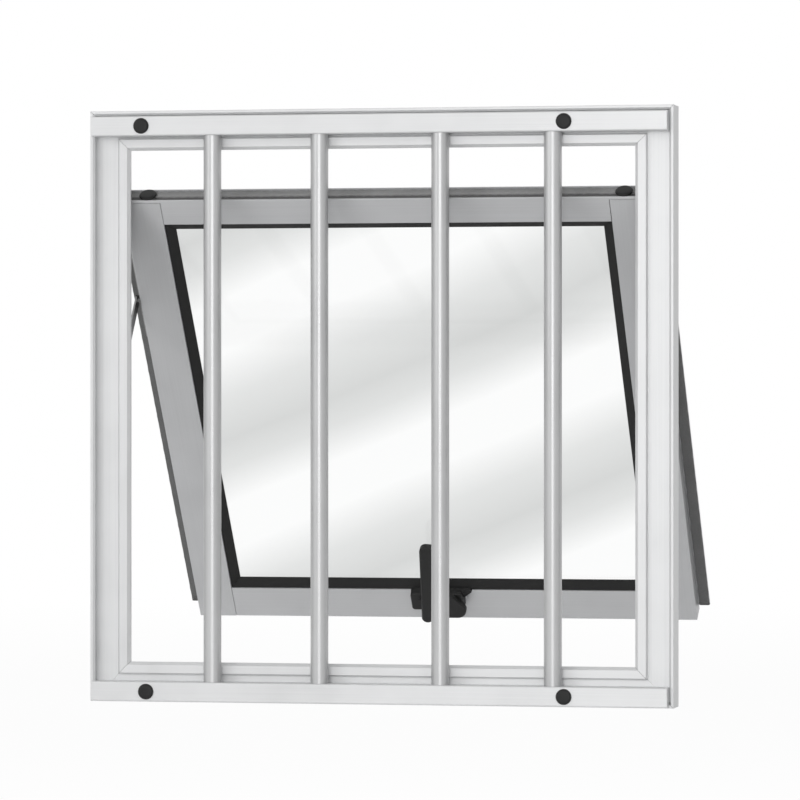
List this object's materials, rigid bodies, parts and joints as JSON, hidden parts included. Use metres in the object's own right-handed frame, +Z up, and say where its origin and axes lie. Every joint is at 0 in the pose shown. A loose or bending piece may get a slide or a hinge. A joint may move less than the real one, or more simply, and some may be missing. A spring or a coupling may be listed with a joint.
{
  "type": "top-projecting aluminium window with bar grille",
  "caption": "Square aluminium window with a sash projected open at the bottom on sliding stays, a glazed pane, a black latch and a room-side grille of round tubes.",
  "frame": {"origin": "middle of the flat underside of the frame sill, half way through the depth of the frame", "axes": "+X to the right seen from the room, +Y outdoors, +Z up"},
  "size_m": [0.6, 0.3821, 0.6],
  "materials": {
    "frame_aluminium": "satin natural anodised, fine lines along the extrusion",
    "grille_rail_aluminium": "satin natural anodised",
    "grille_tube_aluminium": "polished natural anodised round tube",
    "sash_aluminium": "satin natural anodised",
    "black_rubber": "matt black extruded rubber",
    "black_plastic": "matt black moulded plastic",
    "latch_black": "black paint, satin",
    "stay_steel": "brushed stainless strip",
    "stay_nylon": "dark nylon",
    "clear_glass": "clear float glass"
  },
  "bodies": {
    "root": {"bottom_glass_gasket": "black_rubber", "bottom_left_screw_cap": "black_plastic", "bottom_right_screw_cap": "black_plastic", "frame_head": "frame_aluminium", "frame_left_jamb": "frame_aluminium", "frame_right_jamb": "frame_aluminium", "frame_sill": "frame_aluminium", "glass_pane": "clear_glass", "grille_bar_1": "grille_tube_aluminium", "grille_bar_2": "grille_tube_aluminium", "grille_bar_3": "grille_tube_aluminium", "grille_bar_4": "grille_tube_aluminium", "grille_bottom_rail": "grille_rail_aluminium", "grille_top_rail": "grille_rail_aluminium", "latch_base": "latch_black", "latch_lever": "latch_black", "latch_tongue": "latch_black", "left_glass_gasket": "black_rubber", "left_stay_arm": "stay_steel", "left_stay_bracket": "stay_steel", "left_stay_shoe": "stay_nylon", "left_stay_track": "stay_steel", "outer_glass_gasket": "black_rubber", "right_glass_gasket": "black_rubber", "right_stay_arm": "stay_steel", "right_stay_bracket": "stay_steel", "right_stay_shoe": "stay_nylon", "right_stay_track": "stay_steel", "sash_bottom_rail": "sash_aluminium", "sash_left_button": "black_plastic", "sash_left_stile": "sash_aluminium", "sash_right_button": "black_plastic", "sash_right_stile": "sash_aluminium", "sash_top_rail": "sash_aluminium", "top_glass_gasket": "black_rubber", "top_left_screw_cap": "black_plastic", "top_right_screw_cap": "black_plastic", "weather_seal": "black_rubber"}
  },
  "joints": []
}
